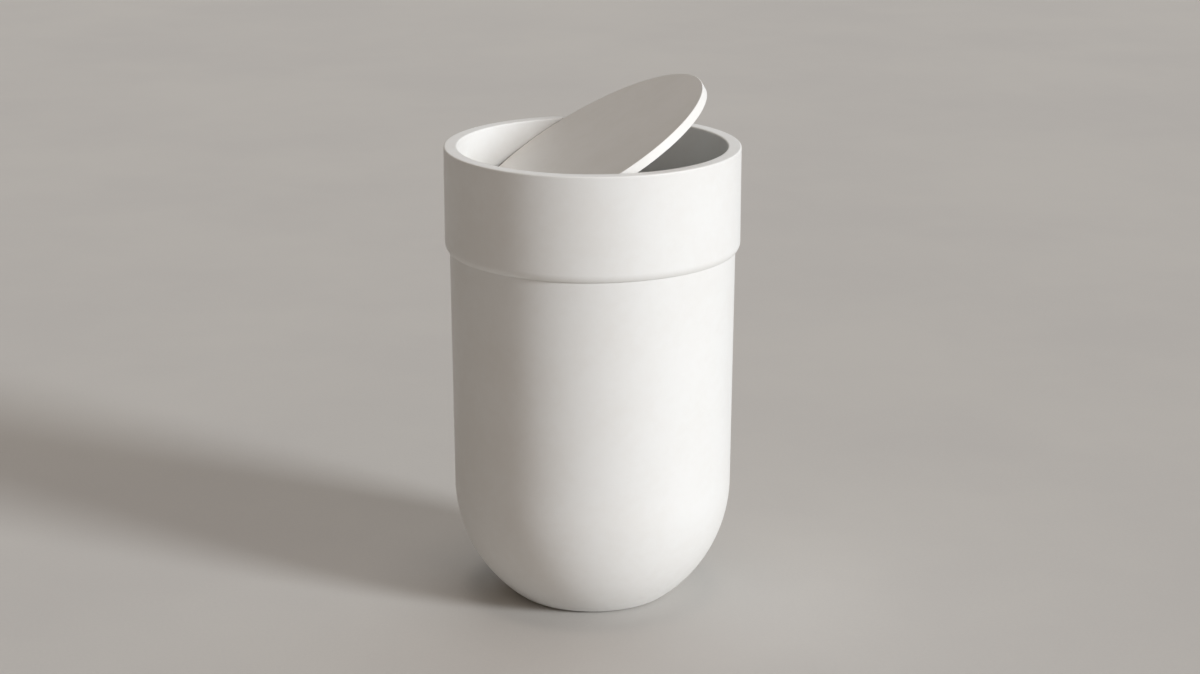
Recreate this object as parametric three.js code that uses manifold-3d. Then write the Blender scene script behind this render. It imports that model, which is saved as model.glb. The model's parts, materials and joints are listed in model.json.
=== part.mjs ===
// Swing-top bin: a tapered can with a round bottom, a lift-off collar, and a weighted disc lid that
// swings in the collar's throat. Millimetres, +Z up, origin on the floor under the middle of the can.
import * as THREE from 'three';
import { mergeVertices } from 'three/addons/utils/BufferGeometryUtils.js';
import Module from 'manifold-3d';

// Whole object
const rimHeight = 300;
const collarRadius = 95;

// Collar moulding
const collarHeight = 66.8;
const skirtWall = 2.4;
const throatWall = 2;
const throatDepth = 54;
const landThickness = 2.4;
const rimRound = 1;
const lipRound = 5;
const lipLand = 0.3;
const seatRibCount = 16;
const seatRibThickness = 1.4;
const bossRadius = 7;
const bossFloor = 1.2;
const stopWidth = 4.4;
const stopHeight = 5;
const stopReach = 2.6;
const stopFootReach = 0.8;
const stopDrop = 7;

// Can moulding
const canRimDepth = 44;
const canWall = 2.2;
const rimBead = 1;
const rimBeadHeight = 7;
const rimBeadRound = 1.1;
const draftDegrees = 0.55;
const bowlRadius = 94.2;
const footRadius = 45.5;
const footFillet = 12;
const footRing = 5;
const footRecess = 1.2;
const floorThickness = 2.4;
const innerFillet = 14;
const gateRadius = 3;
const gateHeight = 0.5;

// Swing lid
const openDegrees = 30;
const lidSink = 0.8;
const lidThickness = 6;
const lidFacePlate = 1.8;
const lidEdgeWall = 1.8;
const lidEdgeRound = 0.5;
const lidUnderPlate = 1.2;
const lidRibThickness = 1.2;
const lidRibCount = 12;
const hubRibRadius = 24;
const outerRibRadius = 66;
const screwBossRadius = 3.2;

// Hinge beam and counterweight
const beamWidth = 22;
const beamPlate = 2.4;
const beamEndGap = 0.3;
const screwHalfWidth = 7;
const screwFromEar = 16;
const screwFromTrough = 10;
const troughWall = 1.8;
const nibReach = 1.2;
const nibHeight = 1.6;
const nibLength = 6;
const nibPlaceShare = 0.28;
const earLength = 15;
const earWall = 2.7;
const earCover = 1.1;
const weightRadius = 6;
const weightDrop = 14;
const weightChamfer = 0.8;

// Pins, bushes and screws
const pinRadius = 2.5;
const pinHeadRadius = 3.6;
const pinHeadLength = 2;
const pinChamfer = 0.6;
const pinEndGap = 0.6;
const pinSlotSpare = 0.8;
const bushWall = 1.2;
const bushChamfer = 0.4;
const bushFlangeRadius = 6;
const bushFlangeLength = 1;
const bushRecess = 0.7;
const screwRadius = 1.45;
const screwPoint = 1.6;
const screwHeadRadius = 2.8;
const screwHeadHeight = 1.8;
const screwHeadChamfer = 0.7;

// Clearances
const skirtGap = 0.7;
const throatGap = 0.5;
const lidGap = 0.4;
const runningGap = 0.3;
const seatGap = 0.3;
const cutOverrun = 1;
const weldDistance = 1e-4;

// Facets
const roundSegments = 64;
const smallSegments = 20;
const bowlSteps = 9;
const innerBowlSteps = 6;
const filletSteps = 3;
const edgeSteps = 2;
const curveSteps = 8;

// Radii and heights that follow from the driving sizes
const draft = THREE.MathUtils.degToRad(draftDegrees);
const lipHeight = rimHeight - collarHeight;
const canRimHeight = rimHeight - canRimDepth;
const landUnderside = rimHeight - landThickness;
const skirtInnerRadius = collarRadius - skirtWall;
const canRadiusAt = (height) => skirtInnerRadius - skirtGap + (height - lipHeight) * Math.tan(draft);
const canRimRadius = canRadiusAt(canRimHeight);
const canRimInnerRadius = canRimRadius - canWall - rimBead;
const throatOuterRadius = canRimInnerRadius - throatGap;
const throatRadius = throatOuterRadius - throatWall;

// Heights of the lid, counted from the pivot axis with the lid level
const pinBore = pinRadius + runningGap;
const beamTop = pinBore + earCover;
const beamUnderside = beamTop - beamPlate;
const lidUnderside = beamTop + seatGap;
const lidFace = lidUnderside + lidThickness;
const lidCavityTop = lidFace - lidFacePlate;
const lidCavityFloor = lidUnderside + lidUnderPlate;
const pivotHeight = rimHeight - lidSink - lidFace;

// Lengths of the lid and its beam, counted from the middle of the throat
const lidRadius = Math.sqrt((throatRadius - lidGap) ** 2 - lidFace ** 2);
const lidCavityRadius = lidRadius - lidEdgeWall;
const troughInnerRadius = weightRadius + runningGap;
const troughRadius = troughInnerRadius + troughWall;
const beamEnd = lidRadius - beamEndGap;
const earStart = beamEnd - earLength;
const earRadius = pinBore + earWall;
const screwHalfSpacing = earStart - screwFromEar;
const troughHalfLength = screwHalfSpacing - screwFromTrough;
const weightLength = 2 * (troughHalfLength - troughWall - runningGap);
const bushSeat = throatRadius + bushRecess;
const bushHoleEnd = skirtInnerRadius - bossFloor;
const bushRadius = pinBore + bushWall;
const pinTip = bushHoleEnd - pinEndGap;
const pinHeadBack = earStart - seatGap;
const pinHeadFace = pinHeadBack - pinHeadLength;
const screwPlaces = [
  [1, 1],
  [-1, 1],
  [-1, -1],
  [1, -1],
].map(([x, y]) => ({ x: x * screwHalfWidth, y: y * screwHalfSpacing }));

const wasm = await Module();
wasm.setup();

const axisX = new THREE.Vector3(1, 0, 0);
const axisY = new THREE.Vector3(0, 1, 0);
const axisZ = new THREE.Vector3(0, 0, 1);

const at = (x, y) => new THREE.Vector2(x, y);
const span = (from, to) => ({ middle: (from + to) / 2, length: to - from });
const around = (middle, length) => ({ middle, length });

function arc(centre, radius, from, to, steps) {
  const points = [];
  for (let i = 0; i <= steps; i += 1) {
    const angle = from + ((to - from) * i) / steps;
    points.push(at(centre.x + radius * Math.cos(angle), centre.y + radius * Math.sin(angle)));
  }
  return points;
}

// A closed three.js geometry as a solid that can be joined and cut
function solid(geometry) {
  const bare = geometry.clone();
  bare.deleteAttribute('normal');
  bare.deleteAttribute('uv');
  const welded = mergeVertices(bare, weldDistance);
  const corners = welded.index.array;
  const triangles = [];
  for (let i = 0; i < corners.length; i += 3) {
    const [a, b, c] = [corners[i], corners[i + 1], corners[i + 2]];
    if (a !== b && b !== c && c !== a) {
      triangles.push(a, b, c);
    }
  }
  const vertProperties = welded.attributes.position.array;
  const triVerts = new Uint32Array(triangles);
  return new wasm.Manifold(new wasm.Mesh({ numProp: 3, vertProperties, triVerts }));
}

const join = (pieces) => pieces.reduce((whole, piece) => whole.add(piece));
const cut = (whole, tools) => tools.reduce((rest, tool) => rest.subtract(tool), whole);

// A profile of radius and height turned about Z. It runs up the outside and down the inside.
function revolve(profile, segments = roundSegments) {
  return solid(new THREE.LatheGeometry(profile, segments).rotateX(Math.PI / 2));
}

// A profile of radius and place along Y, turned about Y
function revolveAboutY(profile) {
  return solid(new THREE.LatheGeometry(profile, smallSegments));
}

// An outline drawn in the plane of two axes, and drawn out along the third to both sides
function extrude(outline, length, across, up) {
  const settings = { depth: length, bevelEnabled: false, curveSegments: curveSteps };
  const along = new THREE.Vector3().crossVectors(across, up);
  const geometry = new THREE.ExtrudeGeometry(outline, settings).translate(0, 0, -length / 2);
  return solid(geometry.applyMatrix4(new THREE.Matrix4().makeBasis(across, up, along)));
}

// A block that may be turned about Z after it is placed
function block(x, y, z, turn = 0) {
  const geometry = new THREE.BoxGeometry(x.length, y.length, z.length);
  return solid(geometry.translate(x.middle, y.middle, z.middle).rotateZ(turn));
}

function post(radius, z, place) {
  const geometry = new THREE.CylinderGeometry(radius, radius, z.length, smallSegments);
  return solid(geometry.rotateX(Math.PI / 2).translate(place.x, place.y, z.middle));
}

function rodAlongY(radius, y, height = 0) {
  const geometry = new THREE.CylinderGeometry(radius, radius, y.length, smallSegments);
  return solid(geometry.translate(0, y.middle, height));
}

// The same solid at both ends of the pivot axis
const atBothEnds = (piece) => [piece, piece.rotate([0, 0, 180])];

// Straight sides over a half-round bottom
function uSection(radius, centreHeight, topHeight) {
  const section = new THREE.Shape();
  section.absarc(0, centreHeight, radius, Math.PI, 2 * Math.PI);
  section.lineTo(radius, topHeight);
  section.lineTo(-radius, topHeight);
  return section;
}

// The centre of the bowl's arc, which touches the drafted wall and the fillet of the foot
function bowlCentre() {
  const slope = Math.tan(draft);
  const radiusOnFloor = canRadiusAt(0) - bowlRadius / Math.cos(draft);
  const reach = footRadius - radiusOnFloor;
  const a = 1 + slope ** 2;
  const b = reach * slope + footFillet;
  const c = reach ** 2 + footFillet ** 2 - (bowlRadius - footFillet) ** 2;
  const height = (b + Math.sqrt(b ** 2 - a * c)) / a;
  return at(radiusOnFloor + height * slope, height);
}

function canOutside(bowl) {
  const foot = at(footRadius, footFillet);
  const meet = Math.atan2(foot.y - bowl.y, foot.x - bowl.x);
  const ringEdge = footRadius - footRing;
  return [
    at(0, footRecess - gateHeight),
    at(gateRadius, footRecess - gateHeight),
    at(gateRadius, footRecess),
    at(ringEdge - footRecess, footRecess),
    at(ringEdge, 0),
    ...arc(foot, footFillet, -Math.PI / 2, meet, filletSteps),
    ...arc(bowl, bowlRadius, meet, -draft, bowlSteps).slice(1),
  ];
}

function canRim() {
  const roundHeight = canRimHeight - rimBeadRound;
  const outer = at(canRimRadius - rimBeadRound, roundHeight);
  const inner = at(canRimInnerRadius + rimBeadRound, roundHeight);
  const beadFoot = canRimHeight - rimBeadHeight;
  const taperFoot = beadFoot - rimBead;
  return [
    ...arc(outer, rimBeadRound, 0, Math.PI / 2, edgeSteps),
    ...arc(inner, rimBeadRound, Math.PI / 2, Math.PI, edgeSteps),
    at(canRimInnerRadius, beadFoot),
    at(canRadiusAt(taperFoot) - canWall / Math.cos(draft), taperFoot),
  ];
}

function canInside(bowl) {
  const floorHeight = footRecess + floorThickness;
  const innerRadius = bowlRadius - canWall;
  const rise = bowl.y - floorHeight - innerFillet;
  const filletX = bowl.x + Math.sqrt((innerRadius - innerFillet) ** 2 - rise ** 2);
  const fillet = at(filletX, floorHeight + innerFillet);
  const meet = Math.atan2(fillet.y - bowl.y, fillet.x - bowl.x);
  return [
    ...arc(bowl, innerRadius, -draft, meet, innerBowlSteps),
    ...arc(fillet, innerFillet, meet, -Math.PI / 2, filletSteps).slice(1),
    at(0, floorHeight),
  ];
}

function canShell() {
  const bowl = bowlCentre();
  return revolve([...canOutside(bowl), ...canRim(), ...canInside(bowl)]);
}

// Skirt, land and throat in one closed profile: an upside-down U that drops over the can's rim
function collarProfile() {
  const lipCentreRadius = collarRadius - lipRound;
  const lipAngle = Math.acos((skirtInnerRadius + lipLand - lipCentreRadius) / lipRound);
  const lip = at(lipCentreRadius, lipHeight + lipRound * Math.sin(lipAngle));
  const roundHeight = rimHeight - rimRound;
  const throatEnd = at(throatRadius + throatWall / 2, rimHeight - throatDepth + throatWall / 2);
  return [
    at(skirtInnerRadius, lipHeight),
    ...arc(lip, lipRound, -lipAngle, 0, filletSteps),
    ...arc(at(collarRadius - rimRound, roundHeight), rimRound, 0, Math.PI / 2, edgeSteps),
    ...arc(at(throatRadius + rimRound, roundHeight), rimRound, Math.PI / 2, Math.PI, edgeSteps),
    ...arc(throatEnd, throatWall / 2, Math.PI, 2 * Math.PI, 2 * edgeSteps),
    at(throatOuterRadius, landUnderside),
    at(skirtInnerRadius, landUnderside),
    at(skirtInnerRadius, lipHeight),
  ];
}

// Ribs between skirt and throat, whose lower ends rest on the can's rim
function seatRibs() {
  const radial = span(throatOuterRadius - throatWall / 2, skirtInnerRadius + skirtWall / 2);
  const height = span(canRimHeight + seatGap, landUnderside + landThickness / 2);
  const pitch = (2 * Math.PI) / seatRibCount;
  const ribs = [];
  for (let i = 0; i < seatRibCount; i += 1) {
    ribs.push(block(radial, around(0, seatRibThickness), height, pitch * (i + 1 / 2)));
  }
  return ribs;
}

// Bosses for the bushes, which hang from the underside of the land and so leave the mould straight
function bearingBosses() {
  const through = span(throatOuterRadius - throatWall / 2, skirtInnerRadius + skirtWall / 2);
  const section = uSection(bossRadius, pivotHeight, landUnderside + landThickness / 2);
  return atBothEnds(extrude(section, through.length, axisX, axisZ).translate([0, through.middle, 0]));
}

function bushHoles() {
  const start = throatRadius - stopReach - cutOverrun;
  const hole = rodAlongY(bushRadius + seatGap, span(start, bushHoleEnd), pivotHeight);
  const recess = rodAlongY(bushFlangeRadius + seatGap, span(start, bushSeat), pivotHeight);
  return atBothEnds(hole.add(recess));
}

// Stops under the bushes, which the beam's plate meets when the lid swings past its range
function swingStops() {
  const wall = throatRadius + throatWall / 2;
  const top = pivotHeight - stopDrop;
  const side = new THREE.Shape([
    at(throatRadius - stopReach, top),
    at(throatRadius - stopFootReach, top - stopHeight),
    at(wall, top - stopHeight),
    at(wall, top),
  ]);
  return atBothEnds(extrude(side, stopWidth, axisY, axisZ));
}

function collarShell() {
  const body = join([revolve(collarProfile()), ...seatRibs(), ...bearingBosses(), ...swingStops()]);
  return cut(body, bushHoles());
}

function pivotBush() {
  const flangeBack = bushSeat - seatGap;
  const flangeFace = flangeBack - bushFlangeLength;
  const end = bushHoleEnd - seatGap;
  return revolveAboutY([
    at(pinBore, flangeFace),
    at(bushFlangeRadius, flangeFace),
    at(bushFlangeRadius, flangeBack),
    at(bushRadius, flangeBack),
    at(bushRadius, end - bushChamfer),
    at(bushRadius - bushChamfer, end),
    at(pinBore, end),
    at(pinBore, flangeFace),
  ]);
}

function pivotPin() {
  return revolveAboutY([
    at(0, pinHeadFace),
    at(pinHeadRadius - pinChamfer, pinHeadFace),
    at(pinHeadRadius, pinHeadFace + pinChamfer),
    at(pinHeadRadius, pinHeadBack),
    at(pinRadius, pinHeadBack),
    at(pinRadius, pinTip - pinChamfer),
    at(pinRadius - pinChamfer, pinTip),
    at(0, pinTip),
  ]);
}

// Ribs under the lid's face plate: spokes from the hub ring to the edge, and two rings
function lidRibs() {
  const foot = lidCavityFloor + seatGap;
  const top = lidCavityTop + lidFacePlate / 2;
  const spoke = span(hubRibRadius, lidCavityRadius + lidEdgeWall / 2);
  const pitch = (2 * Math.PI) / lidRibCount;
  const ribs = [];
  for (let i = 0; i < lidRibCount; i += 1) {
    ribs.push(block(spoke, around(0, lidRibThickness), span(foot, top), pitch * (i + 1 / 2)));
  }
  for (const radius of [hubRibRadius, outerRibRadius]) {
    const outer = radius + lidRibThickness;
    const section = [at(radius, foot), at(outer, foot), at(outer, top), at(radius, top), at(radius, foot)];
    ribs.push(revolve(section));
  }
  return ribs;
}

function lidTop() {
  const lowerRound = at(lidRadius - lidEdgeRound, lidUnderside + lidEdgeRound);
  const upperRound = at(lidRadius - lidEdgeRound, lidFace - lidEdgeRound);
  const dish = revolve([
    at(0, lidCavityTop),
    at(lidCavityRadius, lidCavityTop),
    at(lidCavityRadius, lidUnderside),
    ...arc(lowerRound, lidEdgeRound, -Math.PI / 2, 0, edgeSteps),
    ...arc(upperRound, lidEdgeRound, 0, Math.PI / 2, edgeSteps),
    at(0, lidFace),
  ]);
  const bossHeight = span(lidUnderside, lidCavityTop + lidFacePlate / 2);
  const pilotHeight = span(lidUnderside - cutOverrun, lidCavityTop + seatGap);
  const bosses = screwPlaces.map((place) => post(screwBossRadius, bossHeight, place));
  const pilots = screwPlaces.map((place) => post(screwRadius + seatGap, pilotHeight, place));
  return cut(join([dish, ...lidRibs(), ...bosses]), pilots);
}

function lidUndersidePlate() {
  const radius = lidCavityRadius - seatGap;
  const plate = revolve([
    at(0, lidUnderside),
    at(radius, lidUnderside),
    at(radius, lidCavityFloor),
    at(0, lidCavityFloor),
  ]);
  const through = span(lidUnderside - cutOverrun, lidCavityFloor + cutOverrun);
  return cut(plate, screwPlaces.map((place) => post(screwBossRadius + seatGap, through, place)));
}

// The beam's flat plate, whose ends follow the round of the lid
function beamPlateSolid() {
  const corner = Math.acos(beamWidth / 2 / beamEnd);
  const outline = new THREE.Shape();
  outline.absarc(0, 0, beamEnd, corner, Math.PI - corner);
  outline.absarc(0, 0, beamEnd, Math.PI + corner, 2 * Math.PI - corner);
  return extrude(outline, beamPlate, axisX, axisY).translate([0, 0, (beamTop + beamUnderside) / 2]);
}

// Snap nibs on the trough's walls, just over the shoulders of the weight
function troughNibs() {
  const inner = troughInnerRadius - nibReach;
  const wall = troughInnerRadius + troughWall / 2;
  const foot = Math.sqrt(weightRadius ** 2 - inner ** 2) + seatGap - weightDrop;
  const section = new THREE.Shape([
    at(inner, foot),
    at(wall, foot),
    at(wall, foot + nibHeight),
    at(troughInnerRadius, foot + nibHeight),
  ]);
  const nib = extrude(section, nibLength, axisX, axisZ);
  const place = weightLength * nibPlaceShare;
  return [...atBothEnds(nib.translate([0, place, 0])), ...atBothEnds(nib.translate([0, -place, 0]))];
}

// Slots in the beam's plate, each as long as a pin, through which the pins slide out into the bushes
function pinSlots() {
  const length = pinTip - pinHeadFace + pinSlotSpare;
  const width = around(0, 2 * (pinHeadRadius + seatGap));
  const through = span(beamUnderside - cutOverrun, beamTop + cutOverrun);
  return atBothEnds(block(width, span(earStart - length, earStart), through));
}

function hingeBeam() {
  const wallTop = (beamTop + beamUnderside) / 2;
  const trough = extrude(uSection(troughRadius, -weightDrop, wallTop), 2 * troughHalfLength, axisX, axisZ);
  const ear = extrude(uSection(earRadius, 0, wallTop), earLength, axisX, axisZ);
  const ears = atBothEnds(ear.translate([0, earStart + earLength / 2, 0]));
  const bed = uSection(troughInnerRadius, -weightDrop, beamTop + cutOverrun);
  const bedLength = 2 * (troughHalfLength - troughWall);
  const bores = atBothEnds(rodAlongY(pinBore, span(earStart - cutOverrun, beamEnd + cutOverrun)));
  const through = span(beamUnderside - cutOverrun, beamTop + cutOverrun);
  const holes = screwPlaces.map((place) => post(screwRadius + seatGap, through, place));
  const body = join([beamPlateSolid(), trough, ...ears]);
  const weightBed = extrude(bed, bedLength, axisX, axisZ);
  return join([cut(body, [weightBed, ...bores, ...pinSlots(), ...holes]), ...troughNibs()]);
}

function counterweight() {
  const end = weightLength / 2;
  const bar = revolveAboutY([
    at(0, -end),
    at(weightRadius - weightChamfer, -end),
    at(weightRadius, weightChamfer - end),
    at(weightRadius, end - weightChamfer),
    at(weightRadius - weightChamfer, end),
    at(0, end),
  ]);
  return bar.translate([0, 0, -weightDrop]);
}

function beamScrew(place) {
  const headTop = beamUnderside - seatGap;
  const headFace = headTop - screwHeadHeight;
  const screw = revolve([
    at(0, headFace),
    at(screwHeadRadius - screwHeadChamfer, headFace),
    at(screwHeadRadius, headFace + screwHeadChamfer),
    at(screwHeadRadius, headTop),
    at(screwRadius, headTop),
    at(screwRadius, lidCavityTop - screwPoint),
    at(0, lidCavityTop),
  ], smallSegments);
  return screw.translate([place.x, place.y, 0]);
}

const canPlastic = { color: '#e9e6e1', roughness: 0.48, metalness: 0 };
const collarPlastic = { color: '#eae7e2', roughness: 0.46, metalness: 0 };
const lidPlastic = { color: '#e6e3dd', roughness: 0.5, metalness: 0 };
const innerPlastic = { color: '#d9d6cf', roughness: 0.55, metalness: 0 };
const bushPlastic = { color: '#f3f2ee', roughness: 0.35, metalness: 0 };
const plainSteel = { color: '#a9abad', roughness: 0.35, metalness: 1 };
const darkSteel = { color: '#7d7f82', roughness: 0.5, metalness: 1 };

function mesh(name, shape, finish) {
  const made = shape.getMesh();
  const geometry = new THREE.BufferGeometry();
  geometry.setAttribute('position', new THREE.BufferAttribute(made.vertProperties, made.numProp));
  geometry.setIndex(new THREE.BufferAttribute(made.triVerts, 1));
  geometry.computeVertexNormals();
  const piece = new THREE.Mesh(geometry, new THREE.MeshStandardMaterial(finish));
  piece.name = name;
  return piece;
}

function swingLid() {
  const lid = new THREE.Group();
  const pins = atBothEnds(pivotPin());
  lid.add(
    mesh('lid_top', lidTop(), lidPlastic),
    mesh('lid_underside', lidUndersidePlate(), lidPlastic),
    mesh('hinge_beam', hingeBeam(), innerPlastic),
    mesh('counterweight_bar', counterweight(), darkSteel),
    mesh('pivot_pin_back', pins[0], plainSteel),
    mesh('pivot_pin_front', pins[1], plainSteel),
    ...screwPlaces.map((place, i) => mesh(`beam_screw_${i + 1}`, beamScrew(place), plainSteel)),
  );
  lid.position.z = pivotHeight;
  lid.rotation.y = -THREE.MathUtils.degToRad(openDegrees);
  return lid;
}

function collar() {
  const group = new THREE.Group();
  const bushes = atBothEnds(pivotBush().translate([0, 0, pivotHeight]));
  group.add(
    mesh('collar_shell', collarShell(), collarPlastic),
    mesh('pivot_bush_back', bushes[0], bushPlastic),
    mesh('pivot_bush_front', bushes[1], bushPlastic),
  );
  return group;
}

const bin = new THREE.Group();
bin.add(mesh('can_shell', canShell(), canPlastic), collar(), swingLid());

export default bin;
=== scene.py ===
# Swing-top trash can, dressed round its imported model. Lengths are in millimetres until a mesh is made.
import json
import math
import bmesh
import bpy
from mathutils import Matrix, Vector


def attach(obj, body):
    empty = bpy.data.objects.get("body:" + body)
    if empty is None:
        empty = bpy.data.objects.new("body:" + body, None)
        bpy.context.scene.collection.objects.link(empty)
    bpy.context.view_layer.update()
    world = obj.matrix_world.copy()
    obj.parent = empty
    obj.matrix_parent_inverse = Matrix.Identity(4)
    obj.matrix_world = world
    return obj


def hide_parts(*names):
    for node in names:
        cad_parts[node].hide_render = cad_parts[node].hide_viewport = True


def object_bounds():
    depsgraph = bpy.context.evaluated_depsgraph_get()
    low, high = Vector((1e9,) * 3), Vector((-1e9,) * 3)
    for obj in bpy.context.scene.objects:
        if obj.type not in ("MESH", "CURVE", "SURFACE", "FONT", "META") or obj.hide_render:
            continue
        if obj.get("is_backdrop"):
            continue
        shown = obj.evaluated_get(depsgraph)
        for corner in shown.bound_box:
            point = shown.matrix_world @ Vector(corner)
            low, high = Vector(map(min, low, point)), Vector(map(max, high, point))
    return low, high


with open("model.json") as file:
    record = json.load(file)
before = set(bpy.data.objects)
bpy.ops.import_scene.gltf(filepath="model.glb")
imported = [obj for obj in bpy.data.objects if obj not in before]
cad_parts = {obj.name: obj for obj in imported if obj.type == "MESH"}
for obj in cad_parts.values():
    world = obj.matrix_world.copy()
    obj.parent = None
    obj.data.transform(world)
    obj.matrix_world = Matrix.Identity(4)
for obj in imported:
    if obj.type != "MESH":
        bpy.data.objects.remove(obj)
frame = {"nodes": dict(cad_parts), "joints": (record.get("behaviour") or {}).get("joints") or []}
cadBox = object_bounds()
mm = 0.001
acrossX, acrossY, upZ = Vector((1, 0, 0)), Vector((0, 1, 0)), Vector((0, 0, 1))

# the lid's own frame: its pivot, and its tilt at rest, which is the middle of its range
swing = next(joint for joint in frame["joints"] if joint["name"] == "lid_swing")
restTilt = math.radians(sum(swing["range_deg"]) / 2)
lidPlace = Matrix.Translation(swing["pos_m"]) @ Matrix.Rotation(-restTilt, 4, "Y")
pivotHeight = swing["pos_m"][2] / mm


def extent(node, place=Matrix()):  # lowest and highest corner of a CAD node, seen from a frame
    back = place.inverted()
    points = [back @ vertex.co for vertex in frame["nodes"][node].data.vertices]
    low = Vector([min(point[i] for point in points) for i in range(3)]) / mm
    high = Vector([max(point[i] for point in points) for i in range(3)]) / mm
    return low, high


# the last two are in pixels: the picture's width, and how far left of its middle the can stands
view = {
    "lens": 83.55, "sensor": 36, "fromAxis": 1741.5, "height": 670, "pitch": 15.95, "turn": 12.5,
    "pictureWidth": 1200, "leftOfMiddle": 7.45,
}


def makeCamera():
    turn, pitch = math.radians(view["turn"]), math.radians(view["pitch"])
    forward = Vector((math.sin(turn), math.cos(turn), 0))
    data = bpy.data.cameras.new("camera")
    data.lens, data.sensor_width = view["lens"], view["sensor"]
    data.shift_x = view["leftOfMiddle"] / view["pictureWidth"]
    camera = bpy.data.objects.new("camera", data)
    bpy.context.scene.collection.objects.link(camera)
    camera.location = (upZ * view["height"] - forward * view["fromAxis"]) * mm
    aim = forward * math.cos(pitch) - upZ * math.sin(pitch)
    camera.rotation_euler = aim.to_track_quat("-Z", "Y").to_euler()
    bpy.context.scene.camera = camera
    return forward


# Shaders: a Wire is a socket that can be added, taken away and multiplied,
# and a Surface makes the nodes of a material or of the world
class Wire:
    def __init__(self, surface, socket):
        self.surface, self.socket = surface, socket

    def worked(self, operation, first, second):
        return self.surface.node("ShaderNodeMath", {"operation": operation}, {0: first, 1: second})

    def __add__(self, other):
        return self.worked("ADD", self, other)

    def __radd__(self, other):
        return self.worked("ADD", other, self)

    def __sub__(self, other):
        return self.worked("SUBTRACT", self, other)

    def __rsub__(self, other):
        return self.worked("SUBTRACT", other, self)

    def __mul__(self, other):
        return self.worked("MULTIPLY", self, other)

    def __rmul__(self, other):
        return self.worked("MULTIPLY", other, self)


class Surface:
    def __init__(self, owner):
        owner.use_nodes = True
        self.owner, self.tree = owner, owner.node_tree
        self.tree.nodes.clear()

    def node(self, kind, settings=None, values=None, out=0):
        made = self.tree.nodes.new(kind)
        for setting, value in (settings or {}).items():
            setattr(made, setting, value)
        for socket, value in (values or {}).items():
            if isinstance(value, Wire):
                self.tree.links.new(value.socket, made.inputs[socket])
            else:
                made.inputs[socket].default_value = value
        return Wire(self, made.outputs[out]) if made.outputs else None

    def place(self):
        return self.node("ShaderNodeTexCoord", out="Object")

    def stretched(self, vector, scale):
        return self.node("ShaderNodeMapping", None, {"Vector": vector, "Scale": scale})

    def noise(self, vector, perMetre, detail, rough):
        values = {"Vector": vector, "Scale": perMetre, "Detail": detail, "Roughness": rough}
        return self.node("ShaderNodeTexNoise", None, values)

    def patchy(self, one, other, shares, limits):  # a weighed sum, 0 under the limits and 1 over them
        low, high = limits
        values = {"Value": one * shares[0] + other * shares[1], "From Min": low, "From Max": high}
        return self.node("ShaderNodeMapRange", {"interpolation_type": "SMOOTHSTEP"}, values)

    def between(self, factor, one, other):  # a mix of two colours
        return self.node("ShaderNodeMix", {"data_type": "RGBA"}, {0: factor, 6: one, 7: other}, out=2)

    def bump(self, height, depth, under=None):
        values = {"Height": height, "Distance": depth * mm, "Strength": 1.0}
        if under:
            values["Normal"] = under
        return self.node("ShaderNodeBump", None, values)

    def finish(self, **values):
        values = {name.replace("_", " "): value for name, value in values.items()}
        shader = self.node("ShaderNodeBsdfPrincipled", None, values)
        self.node("ShaderNodeOutputMaterial", None, {"Surface": shader})
        return self.owner


def linear(red, green, blue):  # a colour as it is seen, 0 to 255, for a shader
    def one(value):
        share = value / 255
        return share / 12.92 if share <= 0.04045 else ((share + 0.055) / 1.055) ** 2.4
    return one(red), one(green), one(blue), 1


# In each look, a noise is its scale per metre, its detail and its roughness
noiseMiddle = 0.5  # a noise runs from 0 to 1
white = {
    "name": "satinWhite", "colour": (238, 238, 236), "worn": (235, 234, 231), "roughness": 0.46,
    "wave": (22, 3, 0.5), "fleck": (1300 / 9, 4, 0.65), "grain": (1300, 2, 0.6),
    "tintShares": (0.6, 0.4), "tintLimits": (0.35, 0.68),
    "roughShares": (0.5, 0.5), "roughLimits": (0.3, 0.7), "roughSpread": 0.1,
    "grainSpread": 0.06, "waveDepth": 0.05, "grainDepth": 0.022,
}
lidWhite = dict(white, name="satinLid", colour=(239, 238, 235), worn=(236, 235, 231), roughness=0.5)
beamWhite = dict(white, name="plainWhite", colour=(228, 226, 221), worn=(223, 220, 213), roughness=0.55)
bushWhite = dict(
    white, name="waxyWhite", colour=(241, 240, 236), worn=(232, 230, 224), roughness=0.3, grainDepth=0.004,
)


def mouldedPlastic(look):
    surface = Surface(bpy.data.materials.new(look["name"]))
    place = surface.place()
    wave, fleck, grain = [surface.noise(place, *look[kind]) for kind in ("wave", "fleck", "grain")]
    tint = surface.patchy(wave, fleck, look["tintShares"], look["tintLimits"])
    rough = surface.patchy(wave, fleck, look["roughShares"], look["roughLimits"]) * look["roughSpread"]
    smoothest = look["roughness"] - look["roughSpread"] / 2
    return surface.finish(
        Base_Color=surface.between(tint, linear(*look["colour"]), linear(*look["worn"])),
        Roughness=rough + smoothest + (grain - noiseMiddle) * look["grainSpread"],
        Normal=surface.bump(grain, look["grainDepth"], surface.bump(wave, look["waveDepth"])),
    )


turnedSteel = {
    "name": "turnedSteel", "colour": (176, 177, 179), "dull": (141, 142, 145), "roughness": 0.26,
    "along": (120, 5200, 120), "lines": (1, 3, 0.6), "patches": (160, 4, 0.6),
    "dullShares": (0.6, 0.4), "dullLimits": (0.38, 0.66), "roughSpread": 0.2, "lineDepth": 0.012,
}
barSteel = dict(
    turnedSteel, name="rolledBar", colour=(136, 137, 139), dull=(92, 92, 94), roughness=0.4,
    along=(1500, 60, 1500), roughSpread=0.25, lineDepth=0.03,
)
zincSteel = dict(turnedSteel, name="zincPlate", colour=(188, 191, 196), roughness=0.3, along=(900, 900, 900))


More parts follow.
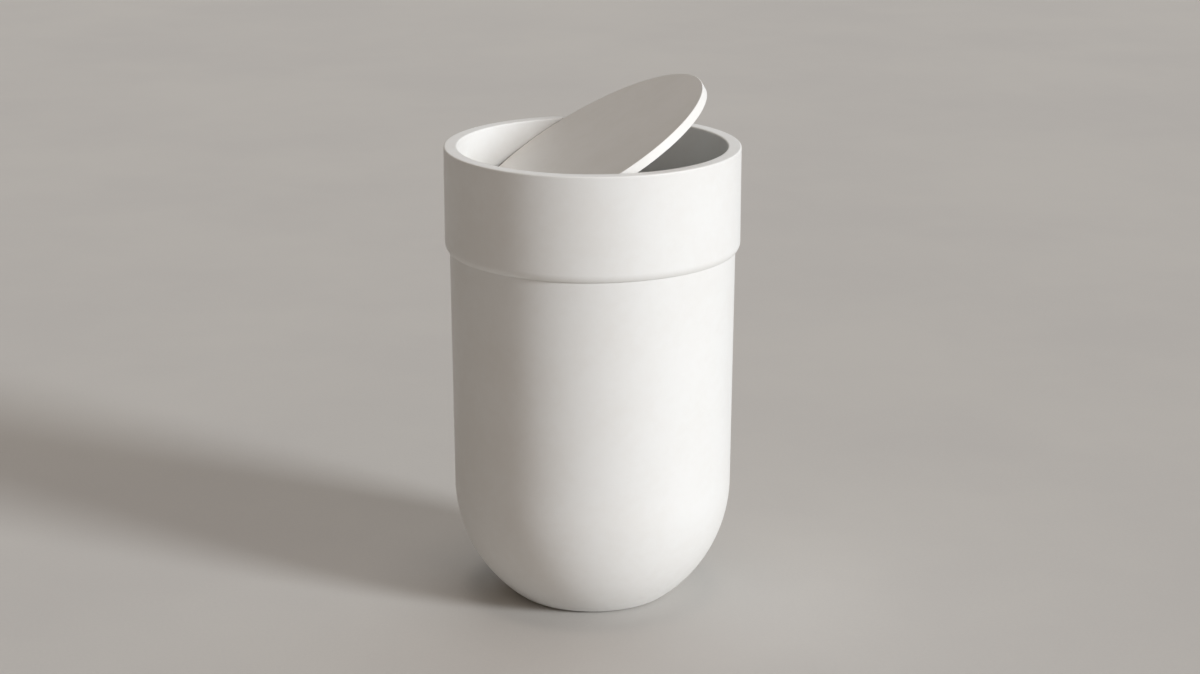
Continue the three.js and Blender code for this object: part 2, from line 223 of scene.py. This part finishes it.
def steel(look):
    surface = Surface(bpy.data.materials.new(look["name"]))
    place = surface.place()
    lines = surface.noise(surface.stretched(place, look["along"]), *look["lines"])
    patches = surface.noise(place, *look["patches"])
    dull = surface.patchy(patches, lines, look["dullShares"], look["dullLimits"])
    return surface.finish(
        Base_Color=surface.between(dull, linear(*look["colour"]), linear(*look["dull"])),
        Metallic=1.0,
        Roughness=dull * look["roughSpread"] + look["roughness"],
        Normal=surface.bump(lines, look["lineDepth"]),
    )


# Mesh making: turned, drawn and cut shapes, all in millimetres in the frame of their place
# facets round a turned shape, by its size, and along a half-round bottom or end
facets = {"shell": 256, "ring": 128, "small": 96, "rod": 64, "halfRound": 24}
overlap = 1  # how far a joined or cutting shape runs past the face that it meets
onAxis = 1e-6  # what lies nearer to the axis than this is on it
longStretch, edgeHold = 1, 0.25  # a longer stretch gets a point this near each of its ends
weldReach = 0.004
bevelSteps, bevelAngle, sharpAngle = 3, 38, 32


def rounded(corners, steps):  # a path of (radius, height, rounding) with its corners rounded off
    path = []
    closed = corners[0][0] > 0
    for i, (x, y, rounding) in enumerate(corners):
        here = Vector((x, y))
        atEnd = not closed and i in (0, len(corners) - 1)
        if rounding == 0 or atEnd:
            path.append(here)
            continue
        before = (Vector(corners[i - 1][:2]) - here).normalized()
        after = (Vector(corners[(i + 1) % len(corners)][:2]) - here).normalized()
        half = before.angle(after) / 2
        middle = here + (before + after).normalized() * rounding / math.sin(half)
        start = here + before * rounding / math.tan(half) - middle
        end = here + after * rounding / math.tan(half) - middle
        sweep = -start.angle_signed(end)
        path += [middle + Matrix.Rotation(sweep * k / steps, 2) @ start for k in range(steps + 1)]
    return held(path, closed)


def held(path, closed):  # adds a point near both ends of each long straight stretch, to keep it flat
    out = []
    count = len(path)
    for i, here in enumerate(path):
        out.append(here)
        if i == count - 1 and not closed:
            break
        after = path[(i + 1) % count]
        length = (after - here).length
        if length > longStretch:
            step = (after - here) / length * edgeHold
            out += [here + step, after - step]
    return out


def arcPath(middle, radius, start, end, steps):
    angles = [start + (end - start) * k / steps for k in range(steps + 1)]
    return [middle + Vector((math.cos(angle), math.sin(angle))) * radius for angle in angles]


def uShape(radius, middle, top):  # straight sides over a half-round bottom
    angles = [math.pi + math.pi * k / facets["halfRound"] for k in range(facets["halfRound"] + 1)]
    bottom = [(radius * math.cos(a), middle + radius * math.sin(a)) for a in angles]
    return [*bottom, (radius, top), (-radius, top)]


def asObject(name, mesh, place=Matrix()):
    bmesh.ops.scale(mesh, vec=(mm, mm, mm), verts=mesh.verts)
    mesh.transform(place)
    data = bpy.data.meshes.new(name)
    mesh.to_mesh(data)
    mesh.free()
    piece = bpy.data.objects.new(name, data)
    bpy.context.scene.collection.objects.link(piece)
    return piece


def turned(name, path, steps, place=Matrix()):  # a path up the outside and down the inside, round Z
    mesh = bmesh.new()
    rings = []
    for point in path:
        angles = [0] if point.x < onAxis else [math.tau * k / steps for k in range(steps)]
        rings.append([
            mesh.verts.new((point.x * math.cos(a), point.x * math.sin(a), point.y)) for a in angles
        ])
    if path[0].x > onAxis:
        rings.append(rings[0])
    for low, high in zip(rings, rings[1:]):
        for k in range(steps):
            after = (k + 1) % steps
            corners = [low[k % len(low)], low[after % len(low)], high[after % len(high)], high[k % len(high)]]
            corners = list(dict.fromkeys(corners))
            if len(corners) > 2:
                mesh.faces.new(corners)
    return asObject(name, mesh, place)


def drawn(name, outline, across, up, start, end, place):  # an outline drawn along the third axis
    along = across.cross(up)
    mesh = bmesh.new()
    ends = [
        [mesh.verts.new(across * x + up * y + along * reach) for x, y in outline] for reach in (start, end)
    ]
    for k in range(len(outline)):
        after = (k + 1) % len(outline)
        mesh.faces.new([ends[0][k], ends[0][after], ends[1][after], ends[1][k]])
    mesh.faces.new(reversed(ends[0]))
    mesh.faces.new(ends[1])
    bmesh.ops.recalc_face_normals(mesh, faces=mesh.faces)
    return asObject(name, mesh, place)


def block(name, x, y, z, place):
    outline = [(x[0], y[0]), (x[1], y[0]), (x[1], y[1]), (x[0], y[1])]
    return drawn(name, outline, acrossX, acrossY, z[0], z[1], place)


def rod(name, radius, start, end, place):
    corners = [Vector((0, start)), Vector((radius, start)), Vector((radius, end)), Vector((0, end))]
    return turned(name, corners, facets["rod"], place)


def alongY(height=0):  # lays a turned shape's own Z along +Y, at a height
    return Matrix.Translation((0, 0, height * mm)) @ Matrix.Rotation(-math.pi / 2, 4, "X")


def halfTurned(place=Matrix()):
    return place @ Matrix.Rotation(math.pi, 4, "Z")


def applied(piece, kind, **settings):
    modifier = piece.modifiers.new(kind.lower(), kind)
    for setting, value in settings.items():
        setattr(modifier, setting, value)
    bpy.context.view_layer.update()
    done = bpy.data.meshes.new_from_object(piece.evaluated_get(bpy.context.evaluated_depsgraph_get()))
    piece.modifiers.clear()
    piece.data = done
    return piece


def together(piece, others, operation):  # joins others to a piece, or cuts them out of it
    for other in others:
        applied(piece, "BOOLEAN", operation=operation, object=other, solver="MANIFOLD")
        bpy.data.objects.remove(other)
    welded(piece)


def welded(piece):  # merges the points that joins and cuts leave on one spot
    mesh = bmesh.new()
    mesh.from_mesh(piece.data)
    bmesh.ops.remove_doubles(mesh, verts=mesh.verts, dist=weldReach * mm)
    bmesh.ops.dissolve_degenerate(mesh, edges=mesh.edges, dist=weldReach * mm)
    mesh.to_mesh(piece.data)
    mesh.free()


def softened(piece, width):  # rounds the sharp edges of a drawn shape before it is joined
    return applied(
        piece, "BEVEL", width=width * mm, segments=bevelSteps, limit_method="ANGLE",
        angle_limit=math.radians(bevelAngle), use_clamp_overlap=True,
    )


def dressed(piece, body, material, slot, *nodes):
    piece.data.materials.clear()
    piece.data.materials.append(material)
    piece.data.shade_smooth()
    piece.data.set_sharp_from_angle(angle=math.radians(sharpAngle))
    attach(piece, body)
    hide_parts(*nodes)


can = {
    "wall": 2.2, "draft": math.radians(0.55), "floor": 2.4, "rimRound": 1.1, "rimSteps": 6,
    "beadReach": 1, "beadHeight": 7, "beadRound": 0.3, "bowlRadius": 94.2, "bowlSteps": 60,
    "innerSteps": 48, "innerFillet": 14, "footFillet": 12, "filletSteps": 12, "footRadius": 45.5,
    "footRing": 5, "footRecess": 1.2, "ringRound": 0.4, "footSteps": 4,
    "gateRadius": 3, "gateHeight": 0.5, "gateRound": 0.15, "gateFootRound": 0.1,
}
can["rimRadius"], can["height"] = extent("can_shell")[1].yz
can["rimInner"] = can["rimRadius"] - can["wall"] - can["beadReach"]


def canRadius(height):
    return can["rimRadius"] - (can["height"] - height) * math.tan(can["draft"])


def bowlMiddle():  # the centre of the bowl's arc, which touches the drafted wall and the foot's fillet
    slope = math.tan(can["draft"])
    onFloor = canRadius(0) - can["bowlRadius"] / math.cos(can["draft"])
    reach = can["footRadius"] - onFloor
    # the height solves a * height ** 2 - 2 * b * height + c = 0
    a = 1 + slope ** 2
    b = reach * slope + can["footFillet"]
    c = reach ** 2 + can["footFillet"] ** 2 - (can["bowlRadius"] - can["footFillet"]) ** 2
    height = (b + math.sqrt(b ** 2 - a * c)) / a
    return Vector((onFloor + height * slope, height))


def makeCan(material):
    bowl = bowlMiddle()
    foot = Vector((can["footRadius"], can["footFillet"]))
    meet = math.atan2(foot.y - bowl.y, foot.x - bowl.x)
    recess, ringEdge = can["footRecess"], can["footRadius"] - can["footRing"]
    gate = recess - can["gateHeight"]
    under = rounded([
        (0, gate, 0), (can["gateRadius"], gate, can["gateRound"]),
        (can["gateRadius"], recess, can["gateFootRound"]), (ringEdge - recess, recess, can["ringRound"]),
        (ringEdge, 0, can["ringRound"]), (can["footRadius"], 0, 0),
    ], can["footSteps"])
    outside = arcPath(foot, can["footFillet"], -math.pi / 2, meet, can["filletSteps"])[1:]
    outside += arcPath(bowl, can["bowlRadius"], meet, -can["draft"], can["bowlSteps"])[1:]
    bead, top = can["height"] - can["beadHeight"], can["height"]
    taper = bead - can["beadReach"]
    wallTop = canRadius(taper) - can["wall"] / math.cos(can["draft"])
    rim = rounded([
        (canRadius(bead), bead, 0), (can["rimRadius"], top, can["rimRound"]),
        (can["rimInner"], top, can["rimRound"]), (can["rimInner"], bead, can["beadRound"]),
        (wallTop, taper, can["beadRound"]), (wallTop, taper - can["beadReach"], 0),
    ], can["rimSteps"])[:-1]
    floor = recess + can["floor"]
    inner = can["bowlRadius"] - can["wall"]
    fillet = Vector((0, floor + can["innerFillet"]))
    fillet.x = bowl.x + math.sqrt((inner - can["innerFillet"]) ** 2 - (bowl.y - fillet.y) ** 2)
    turnIn = math.atan2(fillet.y - bowl.y, fillet.x - bowl.x)
    inside = arcPath(bowl, inner, -can["draft"], turnIn, can["innerSteps"])
    inside += arcPath(fillet, can["innerFillet"], turnIn, -math.pi / 2, can["filletSteps"])[1:]
    path = [*under[:-1], *outside, *rim, *inside, Vector((0, floor))]
    shell = turned("canShell", path, facets["shell"])
    dressed(shell, "can", material, "can", "can_shell")


collar = {
    "skirtWall": 2.4, "land": 2.4, "rimRound": 1, "roofRound": 0.5, "roundSteps": 10,
    "throatWall": 2, "throatDepth": 54, "throatGap": 0.5, "throatEndFlat": 0.04,
    "lipRound": 7, "lipLand": 0.3, "lipSteps": 14, "lipHold": 1, "ribs": 16, "ribThickness": 1.4,
    "bossRadius": 7, "bossFloor": 1.2, "bushRecess": 0.7, "seatGap": 0.3,
    "stopWidth": 4.4, "stopHeight": 5, "stopReach": 2.6, "stopFoot": 0.8, "stopDrop": 7,
}
collar["radius"], collar["top"] = extent("collar_shell")[1].yz
collar["bottom"] = extent("collar_shell")[0].z
collar["skirtInner"] = collar["radius"] - collar["skirtWall"]
collar["throatOuter"] = can["rimInner"] - collar["throatGap"]
collar["throat"] = collar["throatOuter"] - collar["throatWall"]
bushLow, bushHigh = extent("pivot_bush_back")
bush = {
    "back": bushLow.y, "end": bushHigh.y, "radius": bushHigh.x, "wall": 1.2, "bore": 2.8, "flange": 1,
    "chamfer": 0.4, "boreRound": 0.25, "flangeRound": 0.3, "cornerRound": 0.1, "roundSteps": 5,
}


def collarPath():
    middle = collar["radius"] - collar["lipRound"]
    start = -math.acos((collar["skirtInner"] + collar["lipLand"] - middle) / collar["lipRound"])
    lip = Vector((middle, collar["bottom"] - collar["lipRound"] * math.sin(start)))
    top, roof = collar["top"], collar["top"] - collar["land"]
    throatEnd = collar["top"] - collar["throatDepth"]
    endRound = (collar["throatWall"] - collar["throatEndFlat"]) / 2
    body = rounded([
        (collar["radius"], lip.y + collar["lipHold"], 0), (collar["radius"], top, collar["rimRound"]),
        (collar["throat"], top, collar["rimRound"]), (collar["throat"], throatEnd, endRound),
        (collar["throatOuter"], throatEnd, endRound), (collar["throatOuter"], roof, collar["roofRound"]),
        (collar["skirtInner"], roof, collar["roofRound"]), (collar["skirtInner"], collar["bottom"], 0),
    ], collar["roundSteps"])
    return [*arcPath(lip, collar["lipRound"], start, 0, collar["lipSteps"]), *body[:-2]]


def makeCollar(material):
    shell = turned("collarShell", collarPath(), facets["shell"])
    across = (collar["throatOuter"] - overlap, collar["skirtInner"] + overlap)
    rise = (can["height"] + collar["seatGap"], collar["top"] - collar["land"] / 2)
    thick = collar["ribThickness"] / 2
    joined, cuts = [], []
    for k in range(collar["ribs"]):
        turn = Matrix.Rotation(math.tau * (k + 0.5) / collar["ribs"], 4, "Z")
        joined.append(block("rib", across, (-thick, thick), rise, turn))
    boss = uShape(collar["bossRadius"], pivotHeight, rise[1])
    top = pivotHeight - collar["stopDrop"]
    wall = collar["throat"] + overlap
    stop = [
        (collar["throat"] - collar["stopReach"], top),
        (collar["throat"] - collar["stopFoot"], top - collar["stopHeight"]),
        (wall, top - collar["stopHeight"]), (wall, top),
    ]
    half = collar["stopWidth"] / 2
    inside = collar["throat"] - collar["stopReach"] - overlap
    holeEnd = collar["skirtInner"] - collar["bossFloor"]
    seat = collar["throat"] + collar["bushRecess"]
    for place in (Matrix(), halfTurned()):
        joined.append(drawn("boss", boss, acrossX, upZ, -across[1], -across[0], place))
        joined.append(drawn("stop", stop, acrossY, upZ, -half, half, place))
        along = place @ alongY(pivotHeight)
        cuts.append(rod("hole", bush["bore"] + bush["wall"] + collar["seatGap"], inside, holeEnd, along))
        cuts.append(rod("seat", bush["radius"] + collar["seatGap"], inside, seat, along))
    together(shell, joined, "UNION")
    together(shell, cuts, "DIFFERENCE")
    dressed(shell, "collar", material, "collar", "collar_shell")


def makeBushes(material):
    back, end, wall = bush["back"], bush["end"], bush["bore"] + bush["wall"]
    shoulder, corner = back + bush["flange"], bush["cornerRound"]
    path = rounded([
        (bush["bore"], back, bush["boreRound"]), (bush["radius"], back, bush["flangeRound"]),
        (bush["radius"], shoulder, corner), (wall, shoulder, corner), (wall, end, bush["chamfer"]),
        (bush["bore"], end, corner),
    ], bush["roundSteps"])
    for side, turn in (("back", Matrix()), ("front", halfTurned())):
        piece = turned("pivotBush_" + side, path, facets["small"], turn @ alongY(pivotHeight))
        dressed(piece, "collar", material, "bush", "pivot_bush_" + side)


lid = {
    "face": 1.8, "edgeWall": 1.8, "edgeRound": 0.5, "cavityRound": 0.4, "innerRound": 0.2, "topSteps": 8,
    "plate": 1.2, "plateRound": 0.3, "plateSteps": 5, "rib": 1.2, "ribs": 12, "hub": 24, "outerRing": 66,
    "bossRadius": 3.2, "seatGap": 0.3, "screwRadius": 1.45, "screws": 4,
}
lid["radius"], lid["top"] = extent("lid_top", lidPlace)[1].yz
lid["bottom"] = extent("lid_top", lidPlace)[0].z
lid["cavityTop"], lid["cavityFloor"] = lid["top"] - lid["face"], lid["bottom"] + lid["plate"]
lid["cavityRadius"] = lid["radius"] - lid["edgeWall"]


# the screws' boxes and middles, seen from the level lid
screwBoxes = [extent(f"beam_screw_{k}", lidPlace) for k in range(1, lid["screws"] + 1)]
screwMiddles = [(low + high) / 2 for low, high in screwBoxes]


def aboutScrew(middle):
    return lidPlace @ Matrix.Translation((middle.x * mm, middle.y * mm, 0))


def makeLidTop(material):
    path = rounded([
        (0, lid["cavityTop"], 0), (lid["cavityRadius"], lid["cavityTop"], lid["cavityRound"]),
        (lid["cavityRadius"], lid["bottom"], lid["innerRound"]),
        (lid["radius"], lid["bottom"], lid["edgeRound"]), (lid["radius"], lid["top"], lid["edgeRound"]),
        (0, lid["top"], 0),
    ], lid["topSteps"])
    shell = turned("lidTop", path, facets["shell"], lidPlace)
    foot, top = lid["cavityFloor"] + lid["seatGap"], lid["cavityTop"] + lid["face"] / 2
    spoke = (lid["hub"] + lid["rib"] / 2, lid["cavityRadius"] + lid["edgeWall"] / 2)
    thick = lid["rib"] / 2
    added = []
    for radius in (lid["hub"], lid["outerRing"]):
        ring = [(radius, foot), (radius + lid["rib"], foot), (radius + lid["rib"], top), (radius, top)]
        added.append(turned("ring", [Vector(point) for point in ring], facets["ring"], lidPlace))
    for k in range(lid["ribs"]):
        place = lidPlace @ Matrix.Rotation(math.tau * (k + 0.5) / lid["ribs"], 4, "Z")
        added.append(block("spoke", spoke, (-thick, thick), (foot, top), place))
    pilot = lid["screwRadius"] + lid["seatGap"]
    reach = (lid["bottom"] - overlap, lid["cavityTop"] + lid["seatGap"])
    cuts = []
    for middle in screwMiddles:
        added.append(rod("boss", lid["bossRadius"], lid["bottom"], top, aboutScrew(middle)))
        cuts.append(rod("pilot", pilot, *reach, aboutScrew(middle)))
    together(shell, added, "UNION")
    together(shell, cuts, "DIFFERENCE")
    dressed(shell, "lid", material, "lid", "lid_top")


def makeLidUnderside(material):
    radius = lid["cavityRadius"] - lid["seatGap"]
    path = rounded([
        (0, lid["bottom"], 0), (radius, lid["bottom"], lid["plateRound"]),
        (radius, lid["cavityFloor"], lid["innerRound"]), (0, lid["cavityFloor"], 0),
    ], lid["plateSteps"])
    plate = turned("lidUnderside", path, facets["shell"], lidPlace)
    hole = lid["bossRadius"] + lid["seatGap"]
    through = (lid["bottom"] - overlap, lid["cavityFloor"] + overlap)
    holes = [rod("hole", hole, *through, aboutScrew(middle)) for middle in screwMiddles]
    together(plate, holes, "DIFFERENCE")
    dressed(plate, "lid", material, "lid", "lid_underside")


beam = {
    "plate": 2.4, "troughWall": 1.8, "gap": 0.3, "earLength": 15, "earRadius": 5.5, "bore": 2.8,
    "nibReach": 1.2, "nibHeight": 1.6, "nibLength": 6, "nibPlace": 23.5, "slotSpare": 0.8, "edge": 0.35,
}
beam["halfWidth"], beam["end"], beam["top"] = extent("hinge_beam", lidPlace)[1]
beam["underside"] = beam["top"] - beam["plate"]
weight = {"chamfer": 0.8, "edgeRound": 0.2, "roundSteps": 4}
weight["radius"], weight["half"] = extent("counterweight_bar", lidPlace)[1].xy
weight["drop"] = -sum(corner.z for corner in extent("counterweight_bar", lidPlace)) / 2
pin = {
    "radius": 2.5, "headLength": 2, "chamfer": 0.6, "headRound": 0.15, "neckRound": 0.1, "tipRound": 0.2,
    "roundSteps": 5,
}
pinLow, pinHigh = extent("pivot_pin_back")
pin["head"], pin["tip"], pin["headRadius"] = pinLow.y, pinHigh.y, pinHigh.x


def makeBeam(material):
    corner = math.acos(beam["halfWidth"] / beam["end"])
    outline = []
    for start in (corner, math.pi + corner):
        for k in range(facets["halfRound"] + 1):
            angle = start + (math.pi - 2 * corner) * k / facets["halfRound"]
            outline.append((beam["end"] * math.cos(angle), beam["end"] * math.sin(angle)))
    body = drawn("hingeBeam", outline, acrossX, acrossY, beam["underside"], beam["top"], lidPlace)
    softened(body, beam["edge"])
    inner = weight["radius"] + beam["gap"]
    outer = inner + beam["troughWall"]
    half = weight["half"] + beam["gap"] + beam["troughWall"]
    middle = (beam["top"] + beam["underside"]) / 2
    trough = drawn("trough", uShape(outer, -weight["drop"], middle), acrossX, upZ, -half, half, lidPlace)
    bedHalf = half - beam["troughWall"]
    bedShape = uShape(inner, -weight["drop"], beam["top"] + overlap)
    bed = drawn("bed", bedShape, acrossX, upZ, -bedHalf, bedHalf, lidPlace)
    earStart = beam["end"] - beam["earLength"]
    earShape = uShape(beam["earRadius"], 0, middle)
    boreEnds = (earStart - overlap, beam["end"] + overlap)
    through = (beam["underside"] - overlap, beam["top"] + overlap)
    slotStart = earStart - (pin["tip"] - pin["head"] + beam["slotSpare"])
    slotHalf = pin["headRadius"] + beam["gap"]
    added, cuts = [softened(trough, beam["edge"])], [bed]
    for place in (lidPlace, halfTurned(lidPlace)):
        ear = drawn("ear", earShape, acrossX, upZ, -beam["end"], -earStart, place)
        added.append(softened(ear, beam["edge"]))
        cuts.append(rod("bore", beam["bore"], *boreEnds, place @ alongY()))
        cuts.append(block("slot", (-slotHalf, slotHalf), (slotStart, earStart), through, place))
    pilot = lid["screwRadius"] + beam["gap"]
    cuts += [rod("hole", pilot, *through, aboutScrew(spot)) for spot in screwMiddles]
    together(body, added, "UNION")
    together(body, cuts, "DIFFERENCE")
    together(body, makeNibs(inner), "UNION")
    dressed(body, "lid", material, "beam", "hinge_beam")


def makeNibs(inner):  # snap nibs over the shoulders of the bar
    tip, wall = inner - beam["nibReach"], inner + beam["troughWall"] / 2
    foot = math.sqrt(weight["radius"] ** 2 - tip ** 2) + beam["gap"] - weight["drop"]
    top = foot + beam["nibHeight"]
    nib = [(tip, foot), (wall, foot), (wall, top), (inner, top)]
    half = beam["nibLength"] / 2
    for place in (lidPlace, halfTurned(lidPlace)):
        for middle in (-beam["nibPlace"], beam["nibPlace"]):
            yield drawn("nib", nib, acrossX, upZ, middle - half, middle + half, place)


def makeWeight(material):
    radius, half, edge, soft = weight["radius"], weight["half"], weight["chamfer"], weight["edgeRound"]
    path = rounded([
        (0, -half, 0), (radius - edge, -half, soft), (radius, edge - half, soft), (radius, half - edge, soft),
        (radius - edge, half, soft), (0, half, 0),
    ], weight["roundSteps"])
    bar = turned("counterweightBar", path, facets["small"], lidPlace @ alongY(-weight["drop"]))
    dressed(bar, "lid", material, "weight", "counterweight_bar")


def makePins(material):
    shoulder, tipStart = pin["head"] + pin["headLength"], pin["tip"] - pin["chamfer"]
    path = rounded([
        (0, pin["head"], 0), (pin["headRadius"], pin["head"], pin["chamfer"]),
        (pin["headRadius"], shoulder, pin["headRound"]), (pin["radius"], shoulder, pin["neckRound"]),
        (pin["radius"], tipStart, pin["tipRound"]),
        (pin["radius"] - pin["chamfer"], pin["tip"], pin["tipRound"]), (0, pin["tip"], 0),
    ], pin["roundSteps"])
    for side, turn in (("back", lidPlace), ("front", halfTurned(lidPlace))):
        piece = turned("pivotPin_" + side, path, facets["small"], turn @ alongY())
        dressed(piece, "lid", material, "pin", "pivot_pin_" + side)


screw = {
    "headHeight": 1.8, "headRound": 0.9, "edgeRound": 0.15, "point": 1.6, "pointRound": 0.1, "core": 1.1,
    "roundSteps": 6, "pitch": 1.1, "crestHalf": 0.06, "rootShare": 0.3, "rootSink": 0.1,
    "threadStart": 0.6, "threadPast": 0.4, "threadSteps": 24,
    "crossWidth": 0.8, "crossReach": 1.6, "crossDepth": 1.2, "turnEach": 0.4,
}


def makeThread(start, end, place):  # a helical ridge round the core, tapered to nothing at both ends
    mesh = bmesh.new()
    count = int((end - start) / screw["pitch"] * screw["threadSteps"])
    root, flat = screw["core"] - screw["rootSink"], screw["crestHalf"]
    half = screw["pitch"] * screw["rootShare"]
    rows = []
    for k in range(count + 1):
        angle = math.tau * k / screw["threadSteps"]
        height = start + (end - start) * k / count
        grown = min(1, k / screw["threadSteps"], (count - k) / screw["threadSteps"])
        crest = screw["core"] + (lid["screwRadius"] - screw["core"]) * grown
        turn = Vector((math.cos(angle), math.sin(angle), 0))
        section = ((root, -half), (crest, -flat), (crest, flat), (root, half))
        rows.append([mesh.verts.new(turn * radius + upZ * (height + rise)) for radius, rise in section])
    for one, other in zip(rows, rows[1:]):
        for k in range(len(one)):
            after = (k + 1) % len(one)
            mesh.faces.new([one[k], other[k], other[after], one[after]])
    mesh.faces.new(rows[0])
    mesh.faces.new(reversed(rows[-1]))
    bmesh.ops.recalc_face_normals(mesh, faces=mesh.faces)
    return asObject("thread", mesh, place)


def makeScrews(material):
    for k, ((low, high), middle) in enumerate(zip(screwBoxes, screwMiddles), 1):
        radius, face = high.x - middle.x, low.z
        shoulder, taper = face + screw["headHeight"], high.z - screw["point"]
        place = aboutScrew(middle)
        path = rounded([
            (0, face, 0), (radius, face, screw["headRound"]), (radius, shoulder, screw["edgeRound"]),
            (screw["core"], shoulder, screw["edgeRound"]), (screw["core"], taper, screw["pointRound"]),
            (0, high.z, 0),
        ], screw["roundSteps"])
        piece = turned(f"beamScrew_{k}", path, facets["rod"], place)
        reach, half = screw["crossReach"], screw["crossWidth"] / 2
        depth = (face - overlap, face + screw["crossDepth"])
        # a cross recess, turned as each screw stopped
        cross = []
        for turn in (0, math.pi / 2):
            driven = place @ Matrix.Rotation(turn + screw["turnEach"] * k, 4, "Z")
            cross.append(block("cross", (-reach, reach), (-half, half), depth, driven))
        together(piece, cross, "DIFFERENCE")
        thread = makeThread(shoulder + screw["threadStart"], taper + screw["threadPast"], place)
        together(piece, [thread], "UNION")
        dressed(piece, "lid", material, "screw", f"beam_screw_{k}")


stage = {
    "half": 14000, "colour": (206, 203, 198), "patch": (201, 198, 194), "roughness": 0.75,
    "cloud": (3.2, 5, 0.6), "speck": (420, 3, 0.6), "shares": (0.7, 0.3), "limits": (0.35, 0.65),
}


def makeFloor():
    surface = Surface(bpy.data.materials.new("paleFloor"))
    place = surface.place()
    cloud, speck = [surface.noise(place, *stage[kind]) for kind in ("cloud", "speck")]
    tone = surface.patchy(cloud, speck, stage["shares"], stage["limits"])
    colour = surface.between(tone, linear(*stage["colour"]), linear(*stage["patch"]))
    material = surface.finish(Base_Color=colour, Roughness=stage["roughness"])
    half = stage["half"]
    corners = ((-half, -half), (half, -half), (half, half), (-half, half))
    mesh = bmesh.new()
    mesh.faces.new([mesh.verts.new((x, y, 0)) for x, y in corners])
    floor = asObject("floor", mesh)
    floor.data.materials.append(material)
    floor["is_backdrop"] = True


lampDistance = 3  # metres; a sun lights alike from anywhere
# in degrees: around from the camera towards its right, rise over the floor, spread of the lamp's disc
lamps = [
    {"name": "key", "around": 58, "rise": 19, "spread": 14, "level": 0.86, "colour": (0.92, 0.96, 1)},
    {"name": "back", "around": 165, "rise": 45, "spread": 60, "level": 0.155, "colour": (0.78, 0.9, 1)},
    {"name": "front", "around": 30, "rise": 22, "spread": 50, "level": 0.105, "colour": (1, 0.87, 0.81)},
    {"name": "top", "around": 0, "rise": 89, "spread": 25, "level": 0.16, "colour": (1, 0.88, 0.79)},
]


def makeLamp(look, forward):
    around, rise = math.radians(look["around"]), math.radians(look["rise"])
    level = -forward * math.cos(around) + forward.cross(upZ) * math.sin(around)
    aim = level * math.cos(rise) + upZ * math.sin(rise)
    data = bpy.data.lights.new(look["name"], "SUN")
    data.angle, data.color = math.radians(look["spread"]), look["colour"]
    data.energy = look["level"] * math.pi  # level 1 makes a white face that looks at the lamp fully white
    lamp = bpy.data.objects.new(look["name"], data)
    bpy.context.scene.collection.objects.link(lamp)
    lamp.location = aim * lampDistance
    lamp.rotation_euler = (-aim).to_track_quat("-Z", "Y").to_euler()


# the fill is light on matt faces, and what the camera and reflections meet is the seen colour
sky = {"fill": (0.115, 0.093, 0.074), "seen": (205, 202, 197)}


def makeWorld():
    world = Surface(bpy.data.worlds.new("softSky"))
    kinds = ("Camera", "Glossy", "Transmission")
    camera, glossy, clear = [world.node("ShaderNodeLightPath", out=f"Is {kind} Ray") for kind in kinds]
    fill = world.node("ShaderNodeBackground", None, {"Color": (*sky["fill"], 1)})
    seen = world.node("ShaderNodeBackground", None, {"Color": linear(*sky["seen"])})
    mixed = world.node("ShaderNodeMixShader", None, {0: camera + glossy + clear, 1: fill, 2: seen})
    world.node("ShaderNodeOutputWorld", None, {"Surface": mixed})
    bpy.context.scene.world = world.owner


forward = makeCamera()
makeFloor()
makeWorld()
for look in lamps:
    makeLamp(look, forward)
bpy.context.scene.view_settings.view_transform = "Standard"
print("stage, camera and lamps made")

satin, satinLid = mouldedPlastic(white), mouldedPlastic(lidWhite)
makeCan(satin)
print("can made")
makeCollar(satin)
makeBushes(mouldedPlastic(bushWhite))
print("collar and bushes made")
makeLidTop(satinLid)
makeLidUnderside(satinLid)
makeBeam(mouldedPlastic(beamWhite))
makeWeight(steel(barSteel))
makePins(steel(turnedSteel))
makeScrews(steel(zincSteel))
print("lid and its hinge made")

bpy.context.view_layer.update()
boxes = {"cad": cadBox, "visual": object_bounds()}
{name: [list(corner) for corner in corners] for name, corners in boxes.items()}
